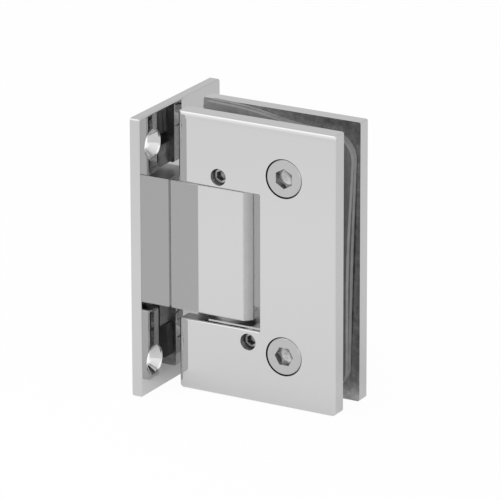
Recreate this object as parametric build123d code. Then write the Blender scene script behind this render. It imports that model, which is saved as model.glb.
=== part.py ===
from build123d import *
import os

# Wall-to-glass door hinge: a wall plate with a pivot block, and a glass clamp that swings on it
# All sizes are millimetres
# Origin: centre of the wall plate's back face; +X points away from the wall, +Z is up
# The clamp's screw heads are on the -Y side, called the front

# Wall plate
wall_height = 90.0
wall_width = 49.2
wall_thick = 3.5
wall_hole_pitch_y = 33.5
wall_hole_pitch_z = 70.0
wall_hole_d = 5.5
wall_sink_d = 9.6
wall_sink_rim = 0.7
wall_corner_r = 0.8

# Edge finish of the cast and polished brass pieces
outline_r = 0.6
foot_r = 1.2
notch_r = 0.3
polish_r = 0.5
joint_chamfer = 0.4

# Glass clamp
clamp_height = 90.0
clamp_right = 63.7
plate_thick = 5.0
glass_gap = 10.5
clamp_left = 8.8
cutout_height = 44.2
cutout_right = 37.1

# Pivot pin, its cam flats and its bushes
pivot_x = 22.8
pin_d = 8.0
cam_flat = 3.3
cam_height = 25.0
key_flat = 2.9
bush_length = 6.5
bush_wall = 1.0
bush_flange_d = 12.8
bush_flange_thick = 1.1

# Pivot block, which stands on the wall plate
block_thick = 13.7
block_nose = 9.0
block_chamfer = 2.2
arm_gap = 1.3
pocket_wall = 3.0

# Pressure bar and its springs
bar_thick = 4.0
spring_d = 6.2
wire_d = 1.1
spring_turns = 4.5
wire_sides = 8
spring_pitch_z = 13.0
seat_depth = 1.2

# Pivot bosses on the rear plate
boss_left = 10.4
boss_wall = 2.7
boss_upper_height = 6.9
boss_lower_height = 7.8
boss_foot = 7.0

# Adjusting lever on the lower end of the pin, and the set screws
lever_inset = 0.4
lever_tail = 3.3
lever_thick = 3.5
lever_width = 5.0
lever_ring = 1.1
set_screw_d = 5.4
set_screw_length = 5.4
pin_screw_length = 4.4
set_socket_af = 3.0
set_socket_depth = 2.2
set_socket_turn = 30.0

# Clamp screws, which pass the glass gap into threaded bosses on the rear plate
clamp_screw_inset = 8.6
clamp_screw_pitch = 57.2
clamp_screw_d = 8.0
clamp_head_d = 12.0
clamp_head_gap = 0.3
clamp_head_rim = 1.0
clamp_socket_af = 5.6
clamp_socket_depth = 3.0
clamp_socket_turns = {1: 30.0, -1: 0.0}
nut_boss_d = 11.0
nut_boss_height = 3.4
nut_floor = 1.5

# Block screws, from behind the wall plate
block_screw_pitch = 33.6
block_screw_d = 5.0
block_head_d = 9.6
block_head_rim = 0.3
block_screw_length = 15.5
block_socket_af = 3.0
block_socket_depth = 1.9

# Gaskets, both kept against the rear plate until glass goes in
gasket_thick = 1.7
gasket_left = 10.6
gasket_right = 61.7
gasket_top = 43.0
gasket_bottom = 42.3
gasket_r = 8.2
gasket_inner_r = 1.5
gasket_tilt = 1.5
gasket_slack = 1.2

# Clearances
run_fit = 0.05
slide_fit = 0.1
face_gap = 0.1
open_gap = 0.3
thread_fit = 0.02
head_gap = 0.2
overrun = 1.0

# Sizes worked out from the above
inner_y = glass_gap / 2
outer_y = inner_y + plate_thick
cutout_z = cutout_height / 2
block_z = cutout_z - arm_gap
block_end = pivot_x + block_nose
pin_r = pin_d / 2
bush_r = pin_r + run_fit + bush_wall
cam_bore_r = pin_r + open_gap
boss_front_y = inner_y - open_gap
cheek_left = pivot_x - pin_r - boss_wall
boss_upper_right = pivot_x + pin_r + boss_wall
lever_z = -(cutout_z + boss_lower_height / 2)
pin_screw_z = cutout_z + boss_upper_height / 2
boss_lower_right = cutout_right - lever_inset
lever_end = boss_lower_right - open_gap
lever_screw_x = lever_end - lever_tail
clamp_screw_x = cutout_right + clamp_screw_inset
pin_top = cutout_z + boss_upper_height - open_gap
pin_bottom = -(cutout_z + boss_lower_height - open_gap)
pocket_y = block_thick / 2 - pocket_wall
bar_front = pivot_x - pin_r - run_fit
bar_back = bar_front - bar_thick
bar_z = cam_height / 2 - slide_fit

os.makedirs("parts", exist_ok=True)


def from_front(y):
    """Sketch plane at depth y, seen from the front: local x is +X and local y is +Z."""
    return Plane(origin=(0, y, 0), x_dir=(1, 0, 0), z_dir=(0, -1, 0))


def span(x0, x1, y0, y1, z0, z1):
    """Plain block between two corners."""
    centre = Pos((x0 + x1) / 2, (y0 + y1) / 2, (z0 + z1) / 2)
    return centre * Box(x1 - x0, y1 - y0, z1 - z0)


def upright(x, radius, z0, z1):
    """Cylinder along Z."""
    return Pos(x, 0, (z0 + z1) / 2) * Cylinder(radius, z1 - z0)


def turned(points):
    """Solid turned about Z from a profile of (radius, height) points."""
    profile = make_face(Polyline(*points, close=True).edges())
    return revolve(Plane.XZ * profile, axis=Axis.Z)


def socket(across_flats, depth, turn=0.0):
    """Hexagon socket below Z = 0 with the cone that a drill leaves."""
    flat_r = across_flats / 2
    hexagon = RegularPolygon(flat_r, 6, major_radius=False, rotation=turn)
    drill = turned([(0, -depth - flat_r * 0.4), (flat_r * 0.9, -depth), (0, -depth)])
    return extrude(hexagon, -depth) + drill


def countersink(screw_r, head_r, rim, length):
    """Space of a countersunk hole whose mouth is at Z = 0."""
    cone = head_r - screw_r
    outline = [(0, overrun), (head_r, overrun), (head_r, -rim), (screw_r, -rim - cone)]
    return turned(outline + [(screw_r, -length), (0, -length)])


def countersunk_screw(screw_r, head_r, rim, length, across_flats, depth, turn):
    """Countersunk screw with a hexagon socket: head face at Z = 0, point down."""
    cone = head_r - screw_r
    break_edge = 0.25
    point = 0.6
    head = [(0, 0), (head_r - break_edge, 0), (head_r, -break_edge), (head_r, -rim)]
    shank = [(screw_r, -rim - cone), (screw_r, -length + point), (screw_r - point, -length), (0, -length)]
    return turned(head + shank) - socket(across_flats, depth, turn)


def set_screw(length):
    """Cup-point set screw with its socket face at Z = 0."""
    screw_r = set_screw_d / 2 - thread_fit
    lead = 0.5
    cup = 1.0
    outline = [(0, 0), (screw_r - lead, 0), (screw_r, -lead), (screw_r, -length + lead)]
    point = [(screw_r - lead, -length), (cup, -length), (0, -length + cup)]
    return turned(outline + point) - socket(set_socket_af, min(set_socket_depth, length - 2 * cup), set_socket_turn)


def at_front(shape, x, y, z):
    """Put a turned piece at a place with its head towards the front."""
    return Plane(origin=(x, y, z), x_dir=(1, 0, 0), z_dir=(0, -1, 0)) * shape


def at_rear(shape, x, y, z):
    """Put a turned piece at a place with its head towards the rear."""
    return Plane(origin=(x, y, z), x_dir=(1, 0, 0), z_dir=(0, 1, 0)) * shape


def plate_face():
    """Clamp plate's outline: a rectangle with the cutout for the block."""
    outline = Pos((clamp_left + clamp_right) / 2, 0) * Rectangle(clamp_right - clamp_left, clamp_height)
    notch = Pos((clamp_left + cutout_right) / 2 - outline_r, 0)
    return outline - notch * Rectangle(cutout_right - clamp_left + 2 * outline_r, cutout_height)


def round_corner(face, x, z, radius):
    """Round the corner of an outline that is nearest to a point."""
    return fillet(face.vertices().sort_by_distance((x, z))[0], radius)


def clamp_plate(y, toward, lower_r):
    """Clamp plate from its inner face at y outwards, with polished edges outside."""
    face = plate_face()
    for side in (1, -1):
        face = round_corner(face, cutout_right, side * cutout_z, notch_r)
        face = round_corner(face, clamp_left, side * cutout_z, outline_r)
    for x in (clamp_left, clamp_right):
        face = round_corner(face, x, clamp_height / 2, outline_r)
        face = round_corner(face, x, -clamp_height / 2, lower_r)
    slab = extrude(from_front(y) * face, -toward * plate_thick)
    outside = slab.faces().sort_by(Axis.Y)[0 if toward < 0 else -1]
    return fillet(outside.edges(), polish_r)


def make_wall_plate():
    face = RectangleRounded(wall_width, wall_height, wall_corner_r)
    slab = extrude(Plane.YZ * face, wall_thick)
    slab = fillet(slab.faces().sort_by(Axis.X)[-1].edges(), polish_r)
    slab = chamfer(slab.faces().sort_by(Axis.X)[0].edges(), polish_r / 2)
    hole = countersink(wall_hole_d / 2, wall_sink_d / 2, wall_sink_rim, wall_thick + overrun)
    for spot in GridLocations(wall_hole_pitch_y, wall_hole_pitch_z, 2, 2):
        y, z = spot.position.X, spot.position.Y
        slab -= Plane(origin=(wall_thick, y, z), x_dir=(0, 1, 0), z_dir=(1, 0, 0)) * hole
    head_r = block_head_d / 2 + head_gap
    hole = countersink(block_screw_d / 2 + head_gap, head_r, block_head_rim, wall_thick + overrun)
    for side in (1, -1):
        slab -= block_screw_plane(side) * hole
    return slab


def block_screw_plane(side):
    """Place of a block screw's head, which faces the wall."""
    z = side * block_screw_pitch / 2
    return Plane(origin=(face_gap, 0, z), x_dir=(0, 1, 0), z_dir=(-1, 0, 0))


def make_block_screw(side):
    head_r = block_head_d / 2
    screw_r = block_screw_d / 2 - thread_fit
    rim = block_head_rim
    screw = countersunk_screw(screw_r, head_r, rim, block_screw_length, block_socket_af, block_socket_depth, 0)
    return block_screw_plane(side) * screw


def make_pivot_block():
    """Neck and knuckle in one flat piece, bored for the pin and milled for the pressure bar."""
    block = span(wall_thick, block_end, -block_thick / 2, block_thick / 2, -block_z, block_z)
    nose = block.edges().filter_by(Axis.Z).group_by(Axis.X)[-1]
    block = chamfer(nose, block_chamfer)
    block = chamfer(block.faces().sort_by(Axis.X)[0].edges(), joint_chamfer)
    block -= upright(pivot_x, cam_bore_r, -block_z, block_z)
    for side in (1, -1):
        z0, z1 = sorted((side * block_z, side * (block_z - bush_length)))
        block -= upright(pivot_x, bush_r, z0, z1)
        hole = Cylinder(block_screw_d / 2, block_screw_length, align=(Align.CENTER, Align.CENTER, Align.MAX))
        block -= block_screw_plane(side) * Pos(0, 0, -open_gap) * hole
    block -= span(wall_thick, pivot_x, -pocket_y, pocket_y, -cam_height / 2, cam_height / 2)
    return block


def make_bush(side):
    """Flanged bush: a sleeve in the block and the washer between block and arm in one."""
    sleeve = upright(pivot_x, bush_r - thread_fit, block_z - bush_length + open_gap, block_z + face_gap)
    flange = upright(pivot_x, bush_flange_d / 2, block_z + face_gap, block_z + face_gap + bush_flange_thick)
    bore = upright(pivot_x, pin_r + run_fit, 0, clamp_height)
    bush = sleeve + flange - bore
    return bush if side > 0 else mirror(bush, Plane.XY)


def make_pivot_pin():
    """Round pin with four cam flats in the middle and two key flats at its lower end."""
    pin = upright(pivot_x, pin_r, pin_bottom, pin_top)
    ends = pin.edges().filter_by(GeomType.CIRCLE)
    pin = chamfer(ends, open_gap)
    cam = span(pivot_x - cam_flat, pivot_x + cam_flat, -cam_flat, cam_flat, -cam_height / 2, cam_height / 2)
    cam_length = span(pivot_x - pin_d, pivot_x + pin_d, -pin_d, pin_d, -cam_height / 2, cam_height / 2)
    key_top = lever_z + lever_thick / 2 + face_gap
    for side in (1, -1):
        y0, y1 = sorted((side * key_flat, side * pin_d))
        pin -= span(pivot_x - pin_d, pivot_x + pin_d, y0, y1, pin_bottom, key_top)
    return pin - (cam_length - cam)


def make_pressure_bar():
    """Bar that the springs press on the pin's flats, with a seat for each spring."""
    width = pocket_y - slide_fit
    bar = span(bar_back, bar_front, -width, width, -bar_z, bar_z)
    bar = chamfer(bar.edges().filter_by(Axis.Y), joint_chamfer)
    for side in (1, -1):
        seat = Cylinder(spring_d / 2 + slide_fit, seat_depth, rotation=(0, 90, 0))
        bar -= Pos(bar_back + seat_depth / 2, 0, side * spring_pitch_z / 2) * seat
    return bar


def make_spring(side):
    """Compression spring along X, with ends ground flat and a few sides to its wire, to keep it light."""
    start = wall_thick + thread_fit
    length = bar_back + seat_depth - thread_fit - start
    mean_r = (spring_d - wire_d) / 2
    path = Helix(pitch=length / spring_turns, height=length, radius=mean_r)
    wire = Plane(origin=path @ 0, z_dir=path % 0) * RegularPolygon(wire_d / 2, wire_sides)
    coil = sweep(wire, path=path, is_frenet=True)
    coil = coil & Pos(0, 0, length / 2) * Cylinder(spring_d, length)
    return Plane(origin=(start, 0, side * spring_pitch_z / 2), x_dir=(0, 1, 0), z_dir=(1, 0, 0)) * coil


def clamp_screw_places():
    for side in (1, -1):
        yield side, side * clamp_screw_pitch / 2


def make_front_plate():
    plate = clamp_plate(-inner_y, -1, foot_r)
    screw_hole_r = clamp_screw_d / 2 + head_gap
    head_r = clamp_head_d / 2 + clamp_head_gap
    hole = countersink(screw_hole_r, head_r, clamp_head_rim, plate_thick + overrun)
    for _, z in clamp_screw_places():
        plate -= at_front(hole, clamp_screw_x, -outer_y, z)
    tapped = Cylinder(set_screw_d / 2, 3 * plate_thick)
    plate -= at_front(tapped, pivot_x, -outer_y, pin_screw_z)
    plate -= at_front(tapped, lever_screw_x, -outer_y, lever_z)
    return plate


def boss_profile(right):
    """Pivot boss seen from above: a low foot at the left and a full cheek round the pin."""
    foot_y = inner_y - boss_foot
    points = [(boss_left, inner_y), (boss_left, foot_y), (cheek_left - boss_wall, foot_y)]
    points += [(cheek_left, -boss_front_y), (right, -boss_front_y), (right, inner_y)]
    return make_face(Polyline(*points, close=True).edges())


def make_boss(z0, z1, right):
    return extrude(Plane.XY.offset(z0) * boss_profile(right), z1 - z0)


def make_rear_plate():
    """Plate with the pivot bosses, the lever's slot and the bosses that take the clamp screws."""
    plate = clamp_plate(inner_y, 1, outline_r)
    lower_z = -cutout_z - boss_lower_height
    plate += make_boss(cutout_z, cutout_z + boss_upper_height, boss_upper_right)
    plate += make_boss(lower_z, -cutout_z, boss_lower_right)
    plate -= upright(pivot_x, pin_r + thread_fit, -clamp_height / 2, clamp_height / 2)
    tip = Cylinder(set_screw_d / 2 + head_gap, pin_r + open_gap)
    plate -= at_front(tip, pivot_x, -boss_front_y, pin_screw_z)
    slot_z = lever_thick / 2 + face_gap
    slot_left = pivot_x - pin_r - lever_ring - open_gap
    plate -= span(slot_left, clamp_right, -inner_y, inner_y, lever_z - slot_z, lever_z + slot_z)
    tip = Cylinder(set_screw_d / 2 + head_gap, inner_y, align=(Align.CENTER, Align.CENTER, Align.MAX))
    plate -= at_front(tip, lever_screw_x, -inner_y, lever_z)
    tapped = Cylinder(set_screw_d / 2, outer_y, align=(Align.CENTER, Align.CENTER, Align.MAX))
    plate -= at_rear(tapped, lever_screw_x, outer_y, lever_z)
    boss = Cylinder(nut_boss_d / 2, nut_boss_height, align=(Align.CENTER, Align.CENTER, Align.MIN))
    depth = nut_boss_height + plate_thick - nut_floor
    thread = Cylinder(clamp_screw_d / 2, depth, align=(Align.CENTER, Align.CENTER, Align.MAX))
    for _, z in clamp_screw_places():
        plate += at_front(boss, clamp_screw_x, inner_y, z)
        plate -= at_front(thread, clamp_screw_x, inner_y - nut_boss_height, z)
    return plate


def make_adjusting_lever():
    """Lever keyed on the pin's lower end, held between the two lever screws."""
    half = lever_width / 2
    arm_end = lever_end - half
    arm = Pos((pivot_x + arm_end) / 2, 0) * Rectangle(arm_end - pivot_x, lever_width)
    face = Pos(pivot_x, 0) * Circle(pin_r + lever_ring) + arm + Pos(arm_end, 0) * Circle(half)
    key = Rectangle(pin_d, 2 * (key_flat + thread_fit))
    face -= Pos(pivot_x, 0) * (Circle(pin_r + thread_fit) & key)
    return extrude(Plane.XY.offset(lever_z - lever_thick / 2) * face, lever_thick)


def make_clamp_screw(side):
    length = 2 * outer_y - nut_floor - 2 * open_gap
    turn = clamp_socket_turns[side]
    screw_r = clamp_screw_d / 2 - thread_fit
    rim = clamp_head_rim
    screw = countersunk_screw(screw_r, clamp_head_d / 2, rim, length, clamp_socket_af, clamp_socket_depth, turn)
    return at_front(screw, clamp_screw_x, -outer_y + face_gap, side * clamp_screw_pitch / 2)


def make_gasket(layer):
    """Gasket sheet, cut clear of the pivot and the screw bosses; layer 0 lies on the rear plate."""
    height = gasket_top + gasket_bottom
    middle = Pos((gasket_left + gasket_right) / 2, (gasket_top - gasket_bottom) / 2)
    sheet = middle * Rectangle(gasket_right - gasket_left, height)
    sheet = fillet(sheet.vertices().sort_by(Axis.X)[:2], gasket_inner_r)
    sheet = fillet(sheet.vertices().sort_by(Axis.X)[-2:], gasket_r)
    notch_top = cutout_z + boss_upper_height + gasket_slack
    notch_bottom = cutout_z + boss_lower_height + gasket_slack
    notch_right = cutout_right + gasket_slack
    notch_height = notch_top + notch_bottom
    notch = RectangleRounded(2 * (notch_right - gasket_left), notch_height, gasket_inner_r)
    sheet -= Pos(gasket_left, (notch_top - notch_bottom) / 2) * notch
    for _, z in clamp_screw_places():
        sheet -= Pos(clamp_screw_x, z) * Circle(nut_boss_d / 2 + gasket_slack)
    tilted = Pos(clamp_screw_x, 0) * Rot(0, 0, -gasket_tilt) * Pos(-clamp_screw_x, 0) * sheet
    back = inner_y - face_gap - layer * (gasket_thick + face_gap)
    return extrude(from_front(back) * tilted, gasket_thick)


parts = {
    "wall_plate": make_wall_plate(),
    "pivot_block": make_pivot_block(),
    "pivot_pin": make_pivot_pin(),
    "pressure_bar": make_pressure_bar(),
    "front_plate": make_front_plate(),
    "rear_plate": make_rear_plate(),
    "adjusting_lever": make_adjusting_lever(),
    "rear_gasket": make_gasket(0),
    "front_gasket": make_gasket(1),
}

for side, end in ((1, "upper"), (-1, "lower")):
    parts[f"block_screw_{end}"] = make_block_screw(side)
    parts[f"bush_{end}"] = make_bush(side)
    parts[f"spring_{end}"] = make_spring(side)
    parts[f"clamp_screw_{end}"] = make_clamp_screw(side)

pin_screw_y = pin_r + run_fit + pin_screw_length
lever_screw_y = lever_width / 2 + run_fit + set_screw_length
parts["pin_set_screw"] = at_front(set_screw(pin_screw_length), pivot_x, -pin_screw_y, pin_screw_z)
parts["lever_screw_front"] = at_front(set_screw(set_screw_length), lever_screw_x, -lever_screw_y, lever_z)
parts["lever_screw_rear"] = at_rear(set_screw(set_screw_length), lever_screw_x, lever_screw_y, lever_z)

for name, part in parts.items():
    export_step(part, f"parts/{name}.step")
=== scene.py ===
"""Visual model of a wall-to-glass door hinge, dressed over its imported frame, in a plain studio."""

from __future__ import annotations

import logging
import math
from dataclasses import dataclass, field, replace
from enum import Enum

import bmesh
import bpy
from mathutils import Matrix, Vector

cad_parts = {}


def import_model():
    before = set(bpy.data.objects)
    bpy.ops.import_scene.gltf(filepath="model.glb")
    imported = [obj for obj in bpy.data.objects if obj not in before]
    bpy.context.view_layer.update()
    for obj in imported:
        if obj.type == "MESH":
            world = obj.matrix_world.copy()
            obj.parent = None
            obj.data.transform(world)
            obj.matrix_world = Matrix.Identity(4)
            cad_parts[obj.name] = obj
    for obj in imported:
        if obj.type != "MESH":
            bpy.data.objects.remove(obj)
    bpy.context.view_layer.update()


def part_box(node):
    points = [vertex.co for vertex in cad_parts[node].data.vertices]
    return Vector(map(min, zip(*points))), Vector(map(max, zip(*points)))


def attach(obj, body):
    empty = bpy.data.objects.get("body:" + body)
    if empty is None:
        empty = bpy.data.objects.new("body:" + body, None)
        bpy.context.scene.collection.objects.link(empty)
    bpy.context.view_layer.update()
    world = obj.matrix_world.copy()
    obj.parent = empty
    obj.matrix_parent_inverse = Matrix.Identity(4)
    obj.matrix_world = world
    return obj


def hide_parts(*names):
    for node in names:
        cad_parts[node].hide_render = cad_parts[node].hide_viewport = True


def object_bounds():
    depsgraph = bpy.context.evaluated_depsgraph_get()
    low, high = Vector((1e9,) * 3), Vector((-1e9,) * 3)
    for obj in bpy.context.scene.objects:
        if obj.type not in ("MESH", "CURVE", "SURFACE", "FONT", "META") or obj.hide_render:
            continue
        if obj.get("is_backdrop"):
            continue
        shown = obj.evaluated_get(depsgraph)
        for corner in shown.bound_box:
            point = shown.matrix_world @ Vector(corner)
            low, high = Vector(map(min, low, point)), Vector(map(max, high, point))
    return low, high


log = logging.getLogger("hinge")

MM = 0.001

# Distance from a cutting plane at which a corner counts as lying on it, in metres
CUT_TOLERANCE = 1e-7
# Distance at which the corners of a CAD mesh are one corner
WELD_MM = 0.001
# Turns that light may take between the facing mirrors
GLOSSY_BOUNCES = 10

# Stretch of a noise pattern's values that carries the change, for patches, marks, tool lines and the faint
# patches of soft materials
PATCH_SPAN = (0.35, 0.7)
MARK_SPAN = (0.35, 0.75)
LINE_SPAN = (0.3, 0.7)
FAINT_SPAN = (0.35, 0.65)
# Share of a machined surface's roughness in its smoothest and in its roughest lines
LINE_ROUGHNESS = (0.75, 1.3)


class Body(Enum):
    """Rigid body of the frame that the new pieces ride on."""

    CLAMP = "clamp"


class Layer(Enum):
    """The two gasket sheets, by the clamp plate that each belongs to."""

    REAR = "rear_gasket"
    FRONT = "front_gasket"


def linear(hex_colour: str) -> tuple[float, float, float, float]:
    """Turn an sRGB hex colour into linear RGBA.

    Args:
        hex_colour: Colour as six hex digits, with or without a leading hash.

    Returns:
        Linear red, green, blue and an alpha of 1.
    """
    digits = hex_colour.lstrip("#")
    values = [int(digits[i : i + 2], 16) / 255 for i in (0, 2, 4)]
    curve = [v / 12.92 if v <= 0.04045 else ((v + 0.055) / 1.055) ** 2.4 for v in values]
    return (*curve, 1.0)


def per_metre(spacing_mm: float) -> float:
    """Scale for a noise node whose features are a given distance apart, in mm."""
    return 1 / (spacing_mm * MM)


def add_node(
    tree: bpy.types.NodeTree,
    kind: str,
    settings: dict[str, object] | None = None,
    inputs: dict[str | int, object] | None = None,
) -> bpy.types.Node:
    """Add a node, set its properties and fill its inputs.

    Args:
        tree: Node tree that gets the node.
        kind: Blender's name for the node's type.
        settings: Node properties by name.
        inputs: Socket values by socket name or index; a socket given as the value is linked.

    Returns:
        The new node.
    """
    node = tree.nodes.new(kind)
    for name, value in (settings or {}).items():
        setattr(node, name, value)
    for key, value in (inputs or {}).items():
        if isinstance(value, bpy.types.NodeSocket):
            tree.links.new(value, node.inputs[key])
        else:
            node.inputs[key].default_value = value
    return node


def calculate(
    tree: bpy.types.NodeTree, operation: str, *values: bpy.types.NodeSocket | float, clamp: bool = False
) -> bpy.types.NodeSocket:
    """Add a maths node.

    Args:
        tree: Node tree that gets the node.
        operation: Blender's name for the operation.
        values: What goes in, in order.
        clamp: Whether the result is kept between 0 and 1.

    Returns:
        The result.
    """
    settings = {"operation": operation, "use_clamp": clamp}
    return add_node(tree, "ShaderNodeMath", settings, dict(enumerate(values))).outputs[0]


def remap(
    tree: bpy.types.NodeTree,
    value: bpy.types.NodeSocket,
    source: tuple[float, float],
    target: tuple[float, float] = (0.0, 1.0),
) -> bpy.types.NodeSocket:
    """Turn one range of values into another, and hold it at both ends.

    Args:
        tree: Node tree that gets the node.
        value: Value to turn.
        source: Start and end of its range.
        target: What the two become.

    Returns:
        The turned value.
    """
    ends = dict(zip(("From Min", "From Max", "To Min", "To Max"), (*source, *target)))
    return add_node(tree, "ShaderNodeMapRange", inputs={"Value": value, **ends}).outputs["Result"]


def mix_colours(
    tree: bpy.types.NodeTree,
    share: bpy.types.NodeSocket,
    first: bpy.types.NodeSocket | tuple[float, float, float, float],
    second: bpy.types.NodeSocket | tuple[float, float, float, float],
) -> bpy.types.NodeSocket:
    """Mix two colours.

    Args:
        tree: Node tree that gets the node.
        share: Share of the second colour.
        first: Linear colour at a share of 0.
        second: Linear colour at a share of 1.

    Returns:
        The mixed colour.
    """
    return add_node(tree, "ShaderNodeMix", {"data_type": "RGBA"}, {0: share, 6: first, 7: second}).outputs[2]


def noise(
    tree: bpy.types.NodeTree,
    place: bpy.types.NodeSocket,
    spacing_mm: float,
    detail: float,
    roughness: float = 0.5,
) -> bpy.types.NodeSocket:
    """Draw a noise pattern at its real size.

    Args:
        tree: Node tree that gets the node.
        place: Coordinates to draw it with, in metres.
        spacing_mm: Distance between its features.
        detail: How many finer patterns lie over it.
        roughness: Strength of the finer patterns.

    Returns:
        The pattern's value.
    """
    inputs = {"Vector": place, "Scale": per_metre(spacing_mm), "Detail": detail, "Roughness": roughness}
    return add_node(tree, "ShaderNodeTexNoise", inputs=inputs).outputs["Fac"]


def bumped(
    tree: bpy.types.NodeTree, pattern: bpy.types.NodeSocket, height_mm: float
) -> bpy.types.NodeSocket:
    """Raise a surface by a pattern.

    Args:
        tree: Node tree that gets the node.
        pattern: Pattern from 0 to 1.
        height_mm: Height of the pattern's crests.

    Returns:
        Normal of the raised surface.
    """
    inputs = {"Strength": 1.0, "Distance": height_mm * MM, "Height": pattern}
    return add_node(tree, "ShaderNodeBump", inputs=inputs).outputs["Normal"]


def new_material(name: str) -> tuple[bpy.types.Material, bpy.types.NodeTree, bpy.types.NodeSocket]:
    """Start an empty node material.

    Args:
        name: Name of the material.

    Returns:
        The material, its empty node tree and the object coordinates to draw patterns with.
    """
    material = bpy.data.materials.new(name)
    material.use_nodes = True
    tree = material.node_tree
    tree.nodes.clear()
    return material, tree, add_node(tree, "ShaderNodeTexCoord").outputs["Object"]


def shade(tree: bpy.types.NodeTree, inputs: dict[str | int, object]) -> None:
    """End a material's node tree with its shader.

    Args:
        tree: The material's node tree.
        inputs: What the shader is given.
    """
    shader = add_node(tree, "ShaderNodeBsdfPrincipled", inputs=inputs)
    add_node(tree, "ShaderNodeOutputMaterial", inputs={"Surface": shader.outputs["BSDF"]})


@dataclass(frozen=True)
class Zone:
    """Box-shaped part of a piece, told by its distances from the planes that the hinge is laid out from.

    Args:
        out_mm: Nearest and farthest distance from the wall, if that matters.
        depth_mm: Nearest and farthest distance from the clamp's middle plane, if that matters.
        height_mm: Nearest and farthest distance from mid height, if that matters.
    """

    out_mm: tuple[float, float] | None = None
    depth_mm: tuple[float, float] | None = None
    height_mm: tuple[float, float] | None = None

    def mask(self, tree: bpy.types.NodeTree, place: bpy.types.NodeSocket) -> bpy.types.NodeSocket:
        """Tell the zone from the rest of the piece.

        Args:
            tree: The material's node tree.
            place: Object coordinates.

        Returns:
            1 inside the zone and 0 outside it.
        """
        axes = add_node(tree, "ShaderNodeSeparateXYZ", inputs={0: place})
        inside: bpy.types.NodeSocket | float = 1.0
        for axis, limits in zip("XYZ", (self.out_mm, self.depth_mm, self.height_mm)):
            if limits:
                distance = calculate(tree, "ABSOLUTE", axes.outputs[axis])
                middle, half = (limits[0] + limits[1]) / 2, (limits[1] - limits[0]) / 2
                near = calculate(tree, "COMPARE", distance, middle * MM, half * MM)
                inside = calculate(tree, "MULTIPLY", near, inside)
        return inside


@dataclass(frozen=True)
class Unpolished:
    """Surfaces that the buffing wheel doesn't reach.

    Args:
        zones: Where they lie.
        colours: Colour of the dark and of the pale patches; where these are darker than the piece's own
            colour, they are painted shade.
        roughness: Roughness of the dull surface.
        patch_mm: Distance between the patches.
    """

    zones: tuple[Zone, ...]
    colours: tuple[str, str]
    roughness: float
    patch_mm: float

    def over(
        self,
        tree: bpy.types.NodeTree,
        place: bpy.types.NodeSocket,
        colour: tuple[float, float, float, float],
        roughness: bpy.types.NodeSocket,
    ) -> tuple[bpy.types.NodeSocket, bpy.types.NodeSocket]:
        """Swap a piece's finish for the dull one where its zones lie, in their colour, which paints shade
        where it is darker than the piece's.

        Args:
            tree: The material's node tree.
            place: Object coordinates.
            colour: Linear colour of the piece's own finish.
            roughness: Roughness of the piece's own finish.

        Returns:
            Colour and roughness of the whole piece.
        """
        dull = self.zones[0].mask(tree, place)
        for zone in self.zones[1:]:
            dull = calculate(tree, "MAXIMUM", dull, zone.mask(tree, place))
        patches = noise(tree, place, self.patch_mm, detail=6.0, roughness=0.7)
        dark, pale = (linear(c) for c in self.colours)
        patched = mix_colours(tree, remap(tree, patches, PATCH_SPAN), dark, pale)
        levels = {0: dull, 2: roughness, 3: self.roughness}
        level = add_node(tree, "ShaderNodeMix", {"data_type": "FLOAT"}, levels)
        return mix_colours(tree, dull, colour, patched), level.outputs[0]


@dataclass(frozen=True)
class Roll:
    """Outer faces that buffing has rolled off towards the upper, the lower and the wall side's edges.

    Args:
        start_mm: Distance from mid height past which the faces fall away.
        radius_mm: Radius of that roll.
        wall_start_mm: Distance from the wall under which the faces fall away.
        wall_radius_mm: Radius of that roll.
    """

    start_mm: float
    radius_mm: float
    wall_start_mm: float
    wall_radius_mm: float

    def over(
        self, tree: bpy.types.NodeTree, place: bpy.types.NodeSocket, normal: bpy.types.NodeSocket
    ) -> bpy.types.NodeSocket:
        """Tilt the normal towards the edges where the outer faces are rolled off.

        Args:
            tree: The material's node tree.
            place: Object coordinates.
            normal: Normal of the flat face.

        Returns:
            Normal of the rolled face.
        """
        axes = add_node(tree, "ShaderNodeSeparateXYZ", inputs={0: place})
        facing = add_node(tree, "ShaderNodeSeparateXYZ", inputs={0: place.node.outputs["Normal"]})
        side = calculate(tree, "SIGN", axes.outputs["Y"])
        outer = calculate(tree, "MULTIPLY", side, facing.outputs["Y"], clamp=True)
        height = calculate(tree, "ABSOLUTE", axes.outputs["Z"])
        past = calculate(tree, "SUBTRACT", height, self.start_mm * MM, clamp=True)
        slope = calculate(tree, "MULTIPLY", past, 1 / (self.radius_mm * MM), clamp=True)
        tilt = calculate(tree, "MULTIPLY", slope, outer)
        lift = calculate(tree, "MULTIPLY", tilt, calculate(tree, "SIGN", axes.outputs["Z"]))
        near = calculate(tree, "SUBTRACT", self.wall_start_mm * MM, axes.outputs["X"], clamp=True)
        lean = calculate(tree, "MULTIPLY", near, 1 / (self.wall_radius_mm * MM), clamp=True)
        wallward = calculate(tree, "MULTIPLY", calculate(tree, "MULTIPLY", lean, outer), -1.0)
        shift = add_node(tree, "ShaderNodeCombineXYZ", inputs={"X": wallward, "Z": lift})
        extra = add_node(
            tree,
            "ShaderNodeVectorTransform",
            {"vector_type": "VECTOR", "convert_from": "OBJECT", "convert_to": "WORLD"},
            {0: shift.outputs[0]},
        )
        both = {0: normal, 1: extra.outputs[0]}
        total = add_node(tree, "ShaderNodeVectorMath", {"operation": "ADD"}, both)
        unit = add_node(tree, "ShaderNodeVectorMath", {"operation": "NORMALIZE"}, {0: total.outputs[0]})
        return unit.outputs[0]


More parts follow.
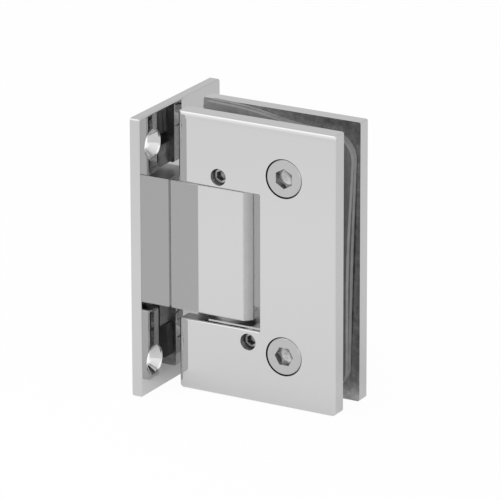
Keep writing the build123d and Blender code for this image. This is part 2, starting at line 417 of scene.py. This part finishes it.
@dataclass(frozen=True)
class Polish:
    """Bright metal with buffing waves and faint handling marks.

    Args:
        name: What the finish is, used as the material's name.
        colour: Reflected colour.
        roughness: Lowest and highest roughness; the marks move between the two.
        mark_mm: Distance between handling marks.
        wave_mm: Distance between buffing waves.
        wave_height_mm: Height of the buffing waves.
        unpolished: Surfaces that stay dull, with painted shade where their colour is darker, if the piece
            has any.
        roll: How its outer faces are rolled off, if they are.
    """

    name: str
    colour: str
    roughness: tuple[float, float]
    mark_mm: float
    wave_mm: float
    wave_height_mm: float
    unpolished: Unpolished | None = None
    roll: Roll | None = None

    def material(self) -> bpy.types.Material:
        """Build the material."""
        material, tree, place = new_material(self.name)
        marks = noise(tree, place, self.mark_mm, detail=5.0, roughness=0.6)
        colour, roughness = linear(self.colour), remap(tree, marks, MARK_SPAN, self.roughness)
        if self.unpolished:
            colour, roughness = self.unpolished.over(tree, place, colour, roughness)
        waves = noise(tree, place, self.wave_mm, detail=1.0, roughness=0.4)
        normal = bumped(tree, waves, self.wave_height_mm)
        if self.roll:
            normal = self.roll.over(tree, place, normal)
        shade(tree, {"Base Color": colour, "Metallic": 1.0, "Roughness": roughness, "Normal": normal})
        return material


@dataclass(frozen=True)
class Machined:
    """Bare steel with fine tool lines round or along one axis.

    Args:
        name: What the finish is, used as the material's name.
        colour: Reflected colour.
        roughness: Roughness between the lines.
        line_mm: Distance between tool lines.
        line_depth_mm: Depth of the tool lines.
        stretch: How far the lines run along X, Y and Z; the smallest is across them.
        unpolished: Surfaces that stay as they were forged, with painted shade where their colour is darker,
            if the piece has any.
    """

    name: str
    colour: str
    roughness: float
    line_mm: float
    line_depth_mm: float
    stretch: tuple[float, float, float]
    unpolished: Unpolished | None = None

    def material(self) -> bpy.types.Material:
        """Build the material."""
        material, tree, place = new_material(self.name)
        along = add_node(
            tree,
            "ShaderNodeMapping",
            inputs={"Vector": place, "Scale": tuple(1 / s for s in self.stretch)},
        )
        lines = noise(tree, along.outputs["Vector"], self.line_mm, detail=3.0)
        smooth, rough = (self.roughness * share for share in LINE_ROUGHNESS)
        colour, roughness = linear(self.colour), remap(tree, lines, LINE_SPAN, (smooth, rough))
        if self.unpolished:
            colour, roughness = self.unpolished.over(tree, place, colour, roughness)
        normal = bumped(tree, lines, self.line_depth_mm)
        shade(tree, {"Base Color": colour, "Metallic": 1.0, "Roughness": roughness, "Normal": normal})
        return material


@dataclass(frozen=True)
class Soft:
    """Moulded plastic or rubber: an even colour with a fine skin.

    Args:
        name: What the finish is, used as the material's name.
        colour: Main colour.
        shade: Colour of the faint patches.
        roughness: Roughness of the skin.
        ior: Index of refraction.
        patch_mm: Distance between the faint patches.
        grain_mm: Distance between the grains of the skin.
        grain_height_mm: Height of the grains.
    """

    name: str
    colour: str
    shade: str
    roughness: float
    ior: float
    patch_mm: float
    grain_mm: float
    grain_height_mm: float

    def material(self) -> bpy.types.Material:
        """Build the material."""
        material, tree, place = new_material(self.name)
        patches = noise(tree, place, self.patch_mm, detail=4.0, roughness=0.65)
        spread = remap(tree, patches, FAINT_SPAN)
        colour = mix_colours(tree, spread, linear(self.shade), linear(self.colour))
        grain = noise(tree, place, self.grain_mm, detail=2.0)
        normal = bumped(tree, grain, self.grain_height_mm)
        shade(tree, {"Base Color": colour, "Roughness": self.roughness, "IOR": self.ior, "Normal": normal})
        return material


# Bright chrome over polished brass: a mirror that takes its tone from the room
BRIGHT_CHROME = Polish("bright_chrome_plate", "#D0D0D0", (0.02, 0.05), 9.0, 14.0, 0.0006)
# The wall plate's chrome: the same, from a bath that left it a shade darker
WALL_CHROME = replace(BRIGHT_CHROME, name="bright_chrome_wall_plate", colour="#CACACA")
# The clamp plates' inner faces and the walls of their screw holes: milled, then plated without buffing,
# so they are dull and patchy; their darker colour is painted shade between the plates and in the holes
DULL_INNER_PAINTED_SHADE = Unpolished(
    (Zone(depth_mm=(0.0, 5.3)), Zone((9.6, 53.0), (0.0, 10.0), (22.3, 44.2))),
    ("#959595", "#CCCCCC"),
    0.38,
    2.5,
)
# The clamp plates' outer faces: buffed a little round towards the edges, so a soft glow runs along the upper
# edge and a dark line along the one by the wall
ROLLED_OFF = Roll(42.4, 6.5, 9.9, 0.55)
CLAMP_CHROME = replace(
    BRIGHT_CHROME, name="bright_chrome_clamp_plate", unpolished=DULL_INNER_PAINTED_SHADE, roll=ROLLED_OFF
)
# The block's chamfers and its two ends: linished by belt before plating, so they blur what the faces mirror
LINISHED = Unpolished(
    (Zone((29.3, 32.0), (3.9, 7.0)), Zone(height_mm=(20.45, 21.0))),
    ("#CFCFCF", "#D4D4D4"),
    0.34,
    4.0,
)
BLOCK_CHROME = replace(BRIGHT_CHROME, name="bright_chrome_block", unpolished=LINISHED)
# Barrel-plated chrome on the clamp screws: duller and cloudier than the plates, with painted shade in the
# sockets
DULL_SOCKET_PAINTED_SHADE = Unpolished((Zone(depth_mm=(0.0, 9.9)),), ("#A0A0A0", "#C8C8C8"), 0.26, 1.5)
BARREL_CHROME = Polish("barrel_chrome_screw", "#BDBDBD", (0.06, 0.14), 3.0, 6.0, 0.0006, DULL_SOCKET_PAINTED_SHADE)
# Stainless screws: darker than chrome, with turning marks that blur what they mirror; rough as forged in the
# sockets, with painted shade there
FORGED_SOCKET_PAINTED_SHADE = Unpolished((Zone(depth_mm=(0.0, 7.8)),), ("#828282", "#9C9C9C"), 0.35, 1.0)
STAINLESS = Machined("turned_stainless_screw", "#A6A6A6", 0.22, 0.25, 0.002, (1.0, 6.0, 1.0), FORGED_SOCKET_PAINTED_SHADE)
# Ground stainless pin, bar and lever: fine rings across the length
GROUND_STEEL = Machined("ground_stainless_pin", "#B4B4B4", 0.2, 0.2, 0.0015, (6.0, 6.0, 1.0))
# Drawn spring wire: dark oiled steel with draw lines
SPRING_WIRE = Machined("oiled_spring_wire", "#8C8C8C", 0.3, 0.15, 0.002, (1.0, 1.0, 1.0))
# Stamped spring steel slide pads: satin sheet with bright sheared edges
PAD_STEEL = Machined("stamped_steel_pad", "#D0D0D0", 0.16, 0.3, 0.0003, (20.0, 1.0, 1.0))
# Moulded acetal bushes: pale grey and slightly waxy
ACETAL = Soft("moulded_acetal", "#A5A5A5", "#9A9A9A", 0.38, 1.48, 3.0, 0.4, 0.004)
# Cut silicone sheet: grey, dusty and matt, with a faint skin from the press
SILICONE = Soft("cut_silicone_sheet", "#8A8A8A", "#7C7C7C", 0.6, 1.41, 5.0, 0.5, 0.02)


def dress(names: tuple[str, ...], finish: Polish | Machined | Soft) -> None:
    """Give one finish to CAD nodes.

    Args:
        names: Names of the nodes.
        finish: Finish that they share.
    """
    material = finish.material()
    for name in names:
        node = bpy.data.objects[name]
        for slot in node.material_slots:
            slot.material = material
        log.info("%s: %s", name, finish.name)


@dataclass
class WallSide:
    """Wall plate and pivot block, with what the block holds."""

    plate: str = "wall_plate"
    block: str = "pivot_block"
    screws: tuple[str, ...] = ("block_screw_upper", "block_screw_lower")
    springs: tuple[str, ...] = ("spring_upper", "spring_lower")
    bushes: tuple[str, ...] = ("bush_upper", "bush_lower")

    def build(self) -> None:
        """Dress the wall side's nodes."""
        dress((self.plate,), WALL_CHROME)
        dress((self.block,), BLOCK_CHROME)
        # The block's screws lie wholly inside the zone that paints shade into the other screws' sockets
        dress(self.screws, replace(STAINLESS, name="turned_stainless_block_screw", unpolished=None))
        dress(self.springs, SPRING_WIRE)
        dress(self.bushes, ACETAL)


@dataclass
class GlassClamp:
    """The two clamp plates with their screws, and the pin and lever that turn with them."""

    plates: tuple[str, ...] = ("front_plate", "rear_plate")
    clamp_screws: tuple[str, ...] = ("clamp_screw_upper", "clamp_screw_lower")
    set_screws: tuple[str, ...] = ("pin_set_screw", "lever_screw_front", "lever_screw_rear")
    steel: tuple[str, ...] = ("pivot_pin", "pressure_bar", "adjusting_lever")

    def build(self) -> None:
        """Dress the clamp's nodes."""
        dress(self.plates, CLAMP_CHROME)
        dress(self.clamp_screws, BARREL_CHROME)
        dress(self.set_screws, STAINLESS)
        dress(self.steel, GROUND_STEEL)


@dataclass
class SlidePads:
    """Thin plates on the clamp's arms that keep the block's ends off the metal, open round the bushes.

    Args:
        arm_mm: Height of the arms' inner faces over and under mid height.
        left_mm: Place along X of the pad's open side.
        right_mm: Place along X of the pad's far side, just short of the cutout's wall.
        front_mm: Distance of the pad's front and rear edges from the middle plane.
        thick_mm: Thickness.
        clearance_mm: Gap round the bush's flange.
        lift_mm: Gap under the pad, so that it doesn't share a face with the arm.
        rim_points: Straight pieces in the whole circle round the flange.
    """

    arm_mm: float = 22.1
    left_mm: float = 17.8
    right_mm: float = 36.9
    front_mm: float = 7.85
    thick_mm: float = 0.25
    clearance_mm: float = 0.3
    lift_mm: float = 0.01
    rim_points: int = 72

    def build(self) -> None:
        """Build the pad under the block and the one over it."""
        material = PAD_STEEL.material()
        for end, side in (("upper", 1), ("lower", -1)):
            pad = self.pad(f"slide_pad_{end}", f"bush_{end}", side)
            pad.data.materials.append(material)
            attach(pad, Body.CLAMP.value)
            log.info("%s: %s", pad.name, PAD_STEEL.name)

    def pad(self, name: str, bush: str, side: int) -> bpy.types.Object:
        """Cut one pad out of a wide ring round the bush's flange.

        Args:
            name: Name of the pad.
            bush: Node of the bush that the pad goes round.
            side: 1 for the pad over the block and -1 for the one under it.

        Returns:
            The pad.
        """
        low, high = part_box(bush)
        centre = (low + high) / 2
        rim = (high.x - low.x) / 2 + self.clearance_mm * MM
        reach = self.right_mm * MM
        arm = side * (self.arm_mm - self.lift_mm) * MM
        work = bmesh.new()
        bmesh.ops.create_circle(work, cap_ends=False, segments=self.rim_points, radius=rim)
        wide = bmesh.ops.extrude_edge_only(work, edges=list(work.edges))
        outer = [v for v in wide["geom"] if isinstance(v, bmesh.types.BMVert)]
        bmesh.ops.scale(work, verts=outer, vec=(reach / rim, reach / rim, 1))
        bmesh.ops.translate(work, verts=work.verts, vec=(centre.x, 0, arm))
        for place, outward in (
            ((self.left_mm * MM, 0, 0), (-1, 0, 0)),
            ((self.right_mm * MM, 0, 0), (1, 0, 0)),
            ((0, self.front_mm * MM, 0), (0, 1, 0)),
            ((0, -self.front_mm * MM, 0), (0, -1, 0)),
        ):
            geometry = [*work.verts, *work.edges, *work.faces]
            bmesh.ops.bisect_plane(
                work, geom=geometry, dist=CUT_TOLERANCE, plane_co=place, plane_no=outward, clear_outer=True
            )
        thick = bmesh.ops.extrude_face_region(work, geom=list(work.faces))
        moved = [v for v in thick["geom"] if isinstance(v, bmesh.types.BMVert)]
        bmesh.ops.translate(work, verts=moved, vec=(0, 0, -side * self.thick_mm * MM))
        bmesh.ops.recalc_face_normals(work, faces=work.faces)
        mesh = bpy.data.meshes.new(name)
        work.to_mesh(mesh)
        work.free()
        pad = bpy.data.objects.new(name, mesh)
        bpy.context.scene.collection.objects.link(pad)
        return pad


@dataclass
class GasketPair:
    """Two loose gasket sheets that sag and bow in the open glass gap.

    Args:
        cell_mm: Size of the grid that a sheet is cut into so that it can bend.
        sag_mm: How far the top edge sinks from the pivot's side to the free side.
        sag_centre_mm: Place along X where the top edge crosses its cut line.
        sag_run_mm: How gently the top edge sinks.
        bow_mm: How far each sheet bows forward at mid height.
        bow_span_mm: Height over which it bows.
        lean_mm: How far each sheet's upper corner by the pivot leans forward.
        lean_run_mm: Places along X where that lean is full and where it has ended.
        ease_mm: Heights at which the upper part's bends start and are full.
    """

    cell_mm: float = 3.0
    sag_mm: float = 1.5
    sag_centre_mm: float = 34.0
    sag_run_mm: float = 9.0
    bow_mm: dict[Layer, float] = field(default_factory=lambda: {Layer.REAR: 0.5, Layer.FRONT: 1.5})
    bow_span_mm: float = 80.0
    lean_mm: dict[Layer, float] = field(default_factory=lambda: {Layer.REAR: 0.1, Layer.FRONT: 0.9})
    lean_run_mm: tuple[float, float] = (20.0, 38.0)
    ease_mm: tuple[float, float] = (12.0, 40.0)

    def build(self) -> None:
        """Build both sheets and let them stand for their CAD nodes."""
        material = SILICONE.material()
        for layer in Layer:
            sheet = self.sheet(layer)
            sheet.data.materials.append(material)
            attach(sheet, Body.CLAMP.value)
            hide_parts(layer.value)
            log.info("%s: %s", sheet.name, SILICONE.name)

    def sheet(self, layer: Layer) -> bpy.types.Object:
        """Cut a copy of the CAD sheet into a grid and bend it.

        Args:
            layer: Which of the two sheets to make.

        Returns:
            The bent sheet.
        """
        work = bmesh.new()
        work.from_mesh(bpy.data.objects[layer.value].data)
        bmesh.ops.remove_doubles(work, verts=work.verts, dist=WELD_MM * MM)
        low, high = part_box(layer.value)
        for axis in (Vector((1, 0, 0)), Vector((0, 0, 1))):
            start, end = low.dot(axis), high.dot(axis)
            steps = round((end - start) / (self.cell_mm * MM))
            for i in range(1, steps):
                cut = axis * (start + (end - start) * i / steps)
                geometry = [*work.verts, *work.edges, *work.faces]
                bmesh.ops.bisect_plane(work, geom=geometry, dist=CUT_TOLERANCE, plane_co=cut, plane_no=axis)
        for vertex in work.verts:
            vertex.co += self.bend(layer, vertex.co)
        bmesh.ops.recalc_face_normals(work, faces=work.faces)
        mesh = bpy.data.meshes.new(f"{layer.value}_sheet")
        work.to_mesh(mesh)
        work.free()
        sheet = bpy.data.objects.new(f"{layer.value}_sheet", mesh)
        bpy.context.scene.collection.objects.link(sheet)
        return sheet

    def bend(self, layer: Layer, point: Vector) -> Vector:
        """Work out how far a point of a flat sheet moves when the sheet bends.

        Args:
            layer: Which of the two sheets the point is on.
            point: The point in the flat sheet.

        Returns:
            The point's movement.
        """
        x, z = point.x / MM, point.z / MM
        start, full = self.ease_mm
        top = min(max((z - start) / (full - start), 0), 1)
        ease = top * top * (3 - 2 * top)
        sag = -self.sag_mm * math.tanh((x - self.sag_centre_mm) / self.sag_run_mm) * ease
        bow = self.bow_mm[layer] * math.cos(math.pi * z / self.bow_span_mm) ** 2
        whole, gone = self.lean_run_mm
        side = min(max((gone - x) / (gone - whole), 0), 1)
        lean = self.lean_mm[layer] * ease * side
        return Vector((0, -bow - lean, sag)) * MM


@dataclass(frozen=True)
class Softbox:
    """Square soft lamp.

    Args:
        name: Name of the lamp.
        place: Where it hangs, in metres.
        aim: Point that it faces, in metres.
        size: Side of the box, in metres.
        power: Power in watts.
        mirrored: Whether metal shows it.
    """

    name: str
    place: tuple[float, float, float]
    aim: tuple[float, float, float]
    size: float
    power: float
    mirrored: bool = True

    def hang(self) -> None:
        """Hang the lamp and aim it."""
        light = bpy.data.lights.new(self.name, "AREA")
        light.shape = "SQUARE"
        light.size = self.size
        light.energy = self.power
        holder = bpy.data.objects.new(self.name, light)
        holder.location = self.place
        holder.rotation_euler = (Vector(self.aim) - Vector(self.place)).to_track_quat("-Z", "Y").to_euler()
        holder.visible_glossy = self.mirrored
        bpy.context.scene.collection.objects.link(holder)


# Small box low over the floor in front: it brightens the floor that the front mirrors, and isn't mirrored
KEY_BOX = Softbox("key_box", (-0.03, -0.13, 0.11), (-0.03, -0.129, -0.045), 0.1, 0.08, mirrored=False)
# Wide box high at the left: the main soft light
TOP_BOX = Softbox("top_box", (-0.45, -0.48, 0.65), (0.02, 0.0, 0.0), 0.7, 0.8)


@dataclass
class Studio:
    """Camera, pale floor and soft lights of the product shot.

    Directions are parts of a unit vector, and light is told as a share of white.

    Args:
        azimuth: Camera's angle round the hinge, from the front towards its free side, in degrees.
        elevation: Camera's height above the horizon, in degrees.
        roll: Turn of the camera about its own line of sight, in degrees.
        distance_mm: Camera's distance from its target.
        target_mm: Point that the camera is aimed past.
        slide_mm: How far the camera is moved right and up from that aim.
        focal_mm: Focal length.
        sensor_mm: Width of the sensor.
        clip_m: Nearest and farthest distance that the camera sees.
        floor_half_m: Half the side of the floor.
        floor_gap_m: Gap between the hinge and the floor.
        floor_colour: Colour of the floor's paper.
        floor_seen: Share of plain white in the floor that the camera sees; the rest shows the shadow.
        floor_painted_glow: The same share in the floor that metal mirrors, in front of the hinge and behind
            it; its white glow, stronger in front, is a painted pool of light.
        floor_turn_m: Where along Y the one passes into the other.
        room_light: The room's light from the front and from behind.
        room_turn: Directions along Y where the one passes into the other.
        side_gain: Gain of the room's light from the wall side and from the free side.
        side_turn: Directions along X where the one passes into the other.
        strip_light: Extra light of the low strip ahead, from the front and from the sides.
        strip_turn: Directions along Y where the one passes into the other.
        strip_rise: Directions along Z where the strip starts and is full.
        strip_fall: Directions along Z where the strip starts to end and has ended.
    """

    azimuth: float = 29.681
    elevation: float = 18.794
    roll: float = -0.139
    distance_mm: float = 1541.8
    target_mm: tuple[float, float, float] = (33.0, 0.0, 0.0)
    slide_mm: tuple[float, float] = (-4.29, 0.761)
    focal_mm: float = 361.2
    sensor_mm: float = 36.0
    clip_m: tuple[float, float] = (0.1, 20.0)
    floor_half_m: float = 3.0
    floor_gap_m: float = 0.0002
    floor_colour: str = "#E8E8E8"
    floor_seen: float = 0.96
    floor_painted_glow: tuple[float, float] = (0.73, 0.12)
    floor_turn_m: tuple[float, float] = (-0.03, 0.03)
    room_light: tuple[float, float] = (0.97, 0.76)
    room_turn: tuple[float, float] = (-0.3, 0.5)
    side_gain: tuple[float, float] = (1.0, 1.4)
    side_turn: tuple[float, float] = (0.5, 1.0)
    strip_light: tuple[float, float] = (0.35, 0.0)
    strip_turn: tuple[float, float] = (-0.7, -0.4)
    strip_rise: tuple[float, float] = (0.0, 0.28)
    strip_fall: tuple[float, float] = (0.35, 0.5)

    def build(self) -> None:
        """Build the whole studio."""
        self.camera()
        self.floor()
        KEY_BOX.hang()
        TOP_BOX.hang()
        self.world()

    def camera(self) -> None:
        """Aim the camera from the photograph's viewing angle."""
        a, e, r = (math.radians(v) for v in (self.azimuth, self.elevation, self.roll))
        back = Vector((math.sin(a) * math.cos(e), -math.cos(a) * math.cos(e), math.sin(e)))
        level = Vector((math.cos(a), math.sin(a), 0))
        upright = back.cross(level)
        right = level * math.cos(r) + upright * math.sin(r)
        up = upright * math.cos(r) - level * math.sin(r)
        place = Vector(self.target_mm) + back * self.distance_mm
        place += right * self.slide_mm[0] + up * self.slide_mm[1]
        camera = bpy.data.cameras.new("product_camera")
        camera.lens = self.focal_mm
        camera.sensor_width = self.sensor_mm
        camera.clip_start, camera.clip_end = self.clip_m
        holder = bpy.data.objects.new("product_camera", camera)
        turn = Matrix((right, up, back)).transposed().to_4x4()
        holder.matrix_world = Matrix.Translation(place * MM) @ turn
        bpy.context.scene.collection.objects.link(holder)
        bpy.context.scene.camera = holder

    def floor(self) -> None:
        """Lay a plain pale floor that stays white to the camera and keeps a faint shadow; to metal it shows
        a painted glow, stronger in front of the hinge than behind.
        """
        work = bmesh.new()
        bmesh.ops.create_grid(work, x_segments=1, y_segments=1, size=self.floor_half_m)
        bmesh.ops.translate(work, verts=work.verts, vec=(0, 0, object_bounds()[0].z - self.floor_gap_m))
        mesh = bpy.data.meshes.new("studio_floor")
        work.to_mesh(mesh)
        work.free()
        floor = bpy.data.objects.new("studio_floor", mesh)
        bpy.context.scene.collection.objects.link(floor)
        material, tree, place = new_material("white_paper_floor")
        paper = add_node(tree, "ShaderNodeBsdfDiffuse", inputs={"Color": linear(self.floor_colour)})
        glow = add_node(tree, "ShaderNodeEmission", inputs={"Color": linear("#FFFFFF"), "Strength": 1.0})
        path = add_node(tree, "ShaderNodeLightPath")
        seen = calculate(tree, "MULTIPLY", path.outputs["Is Camera Ray"], self.floor_seen)
        axes = add_node(tree, "ShaderNodeSeparateXYZ", inputs={0: place})
        # Painted light: the floor glows white to metal, more in front of the hinge than behind it
        mirrored = remap(tree, axes.outputs["Y"], self.floor_turn_m, self.floor_painted_glow)
        share = calculate(tree, "MULTIPLY_ADD", path.outputs["Is Glossy Ray"], mirrored, seen)
        mix = add_node(
            tree,
            "ShaderNodeMixShader",
            inputs={0: share, 1: paper.outputs["BSDF"], 2: glow.outputs["Emission"]},
        )
        add_node(tree, "ShaderNodeOutputMaterial", inputs={"Surface": mix.outputs["Shader"]})
        mesh.materials.append(material)
        floor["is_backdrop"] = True

    def world(self) -> None:
        """Surround the hinge with soft white light, stronger from the front and from the free side."""
        world = bpy.data.worlds.new("studio_room")
        bpy.context.scene.world = world
        world.use_nodes = True
        tree = world.node_tree
        tree.nodes.clear()
        toward = add_node(tree, "ShaderNodeTexCoord").outputs["Generated"]
        axes = add_node(tree, "ShaderNodeSeparateXYZ", inputs={0: toward})
        level = remap(tree, axes.outputs["Y"], self.room_turn, self.room_light)
        gain = remap(tree, axes.outputs["X"], self.side_turn, self.side_gain)
        ahead = remap(tree, axes.outputs["Y"], self.strip_turn, self.strip_light)
        rise = remap(tree, axes.outputs["Z"], self.strip_rise)
        fall = remap(tree, axes.outputs["Z"], self.strip_fall, (1.0, 0.0))
        strip = calculate(tree, "MULTIPLY", rise, fall)
        total = calculate(tree, "MULTIPLY_ADD", ahead, strip, calculate(tree, "MULTIPLY", level, gain))
        path = add_node(tree, "ShaderNodeLightPath")
        room = add_node(
            tree, "ShaderNodeBackground", inputs={"Color": linear("#FFFFFF"), "Strength": total}
        )
        white = add_node(tree, "ShaderNodeBackground", inputs={"Color": linear("#FFFFFF"), "Strength": 1.0})
        mix = add_node(
            tree,
            "ShaderNodeMixShader",
            inputs={0: path.outputs["Is Camera Ray"], 1: room.outputs[0], 2: white.outputs[0]},
        )
        add_node(tree, "ShaderNodeOutputWorld", inputs={"Surface": mix.outputs["Shader"]})


def set_view() -> None:
    """Use the plain view transform, and let light bounce on between the facing mirrors."""
    scene = bpy.context.scene
    scene.view_settings.view_transform = "Standard"
    scene.cycles.glossy_bounces = GLOSSY_BOUNCES


def main() -> None:
    """Load the frame, dress it and set the studio."""
    logging.basicConfig(level=logging.INFO, format="%(name)s: %(message)s")
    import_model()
    WallSide().build()
    GlassClamp().build()
    SlidePads().build()
    GasketPair().build()
    Studio().build()
    set_view()


if __name__ == "__main__":
    main()
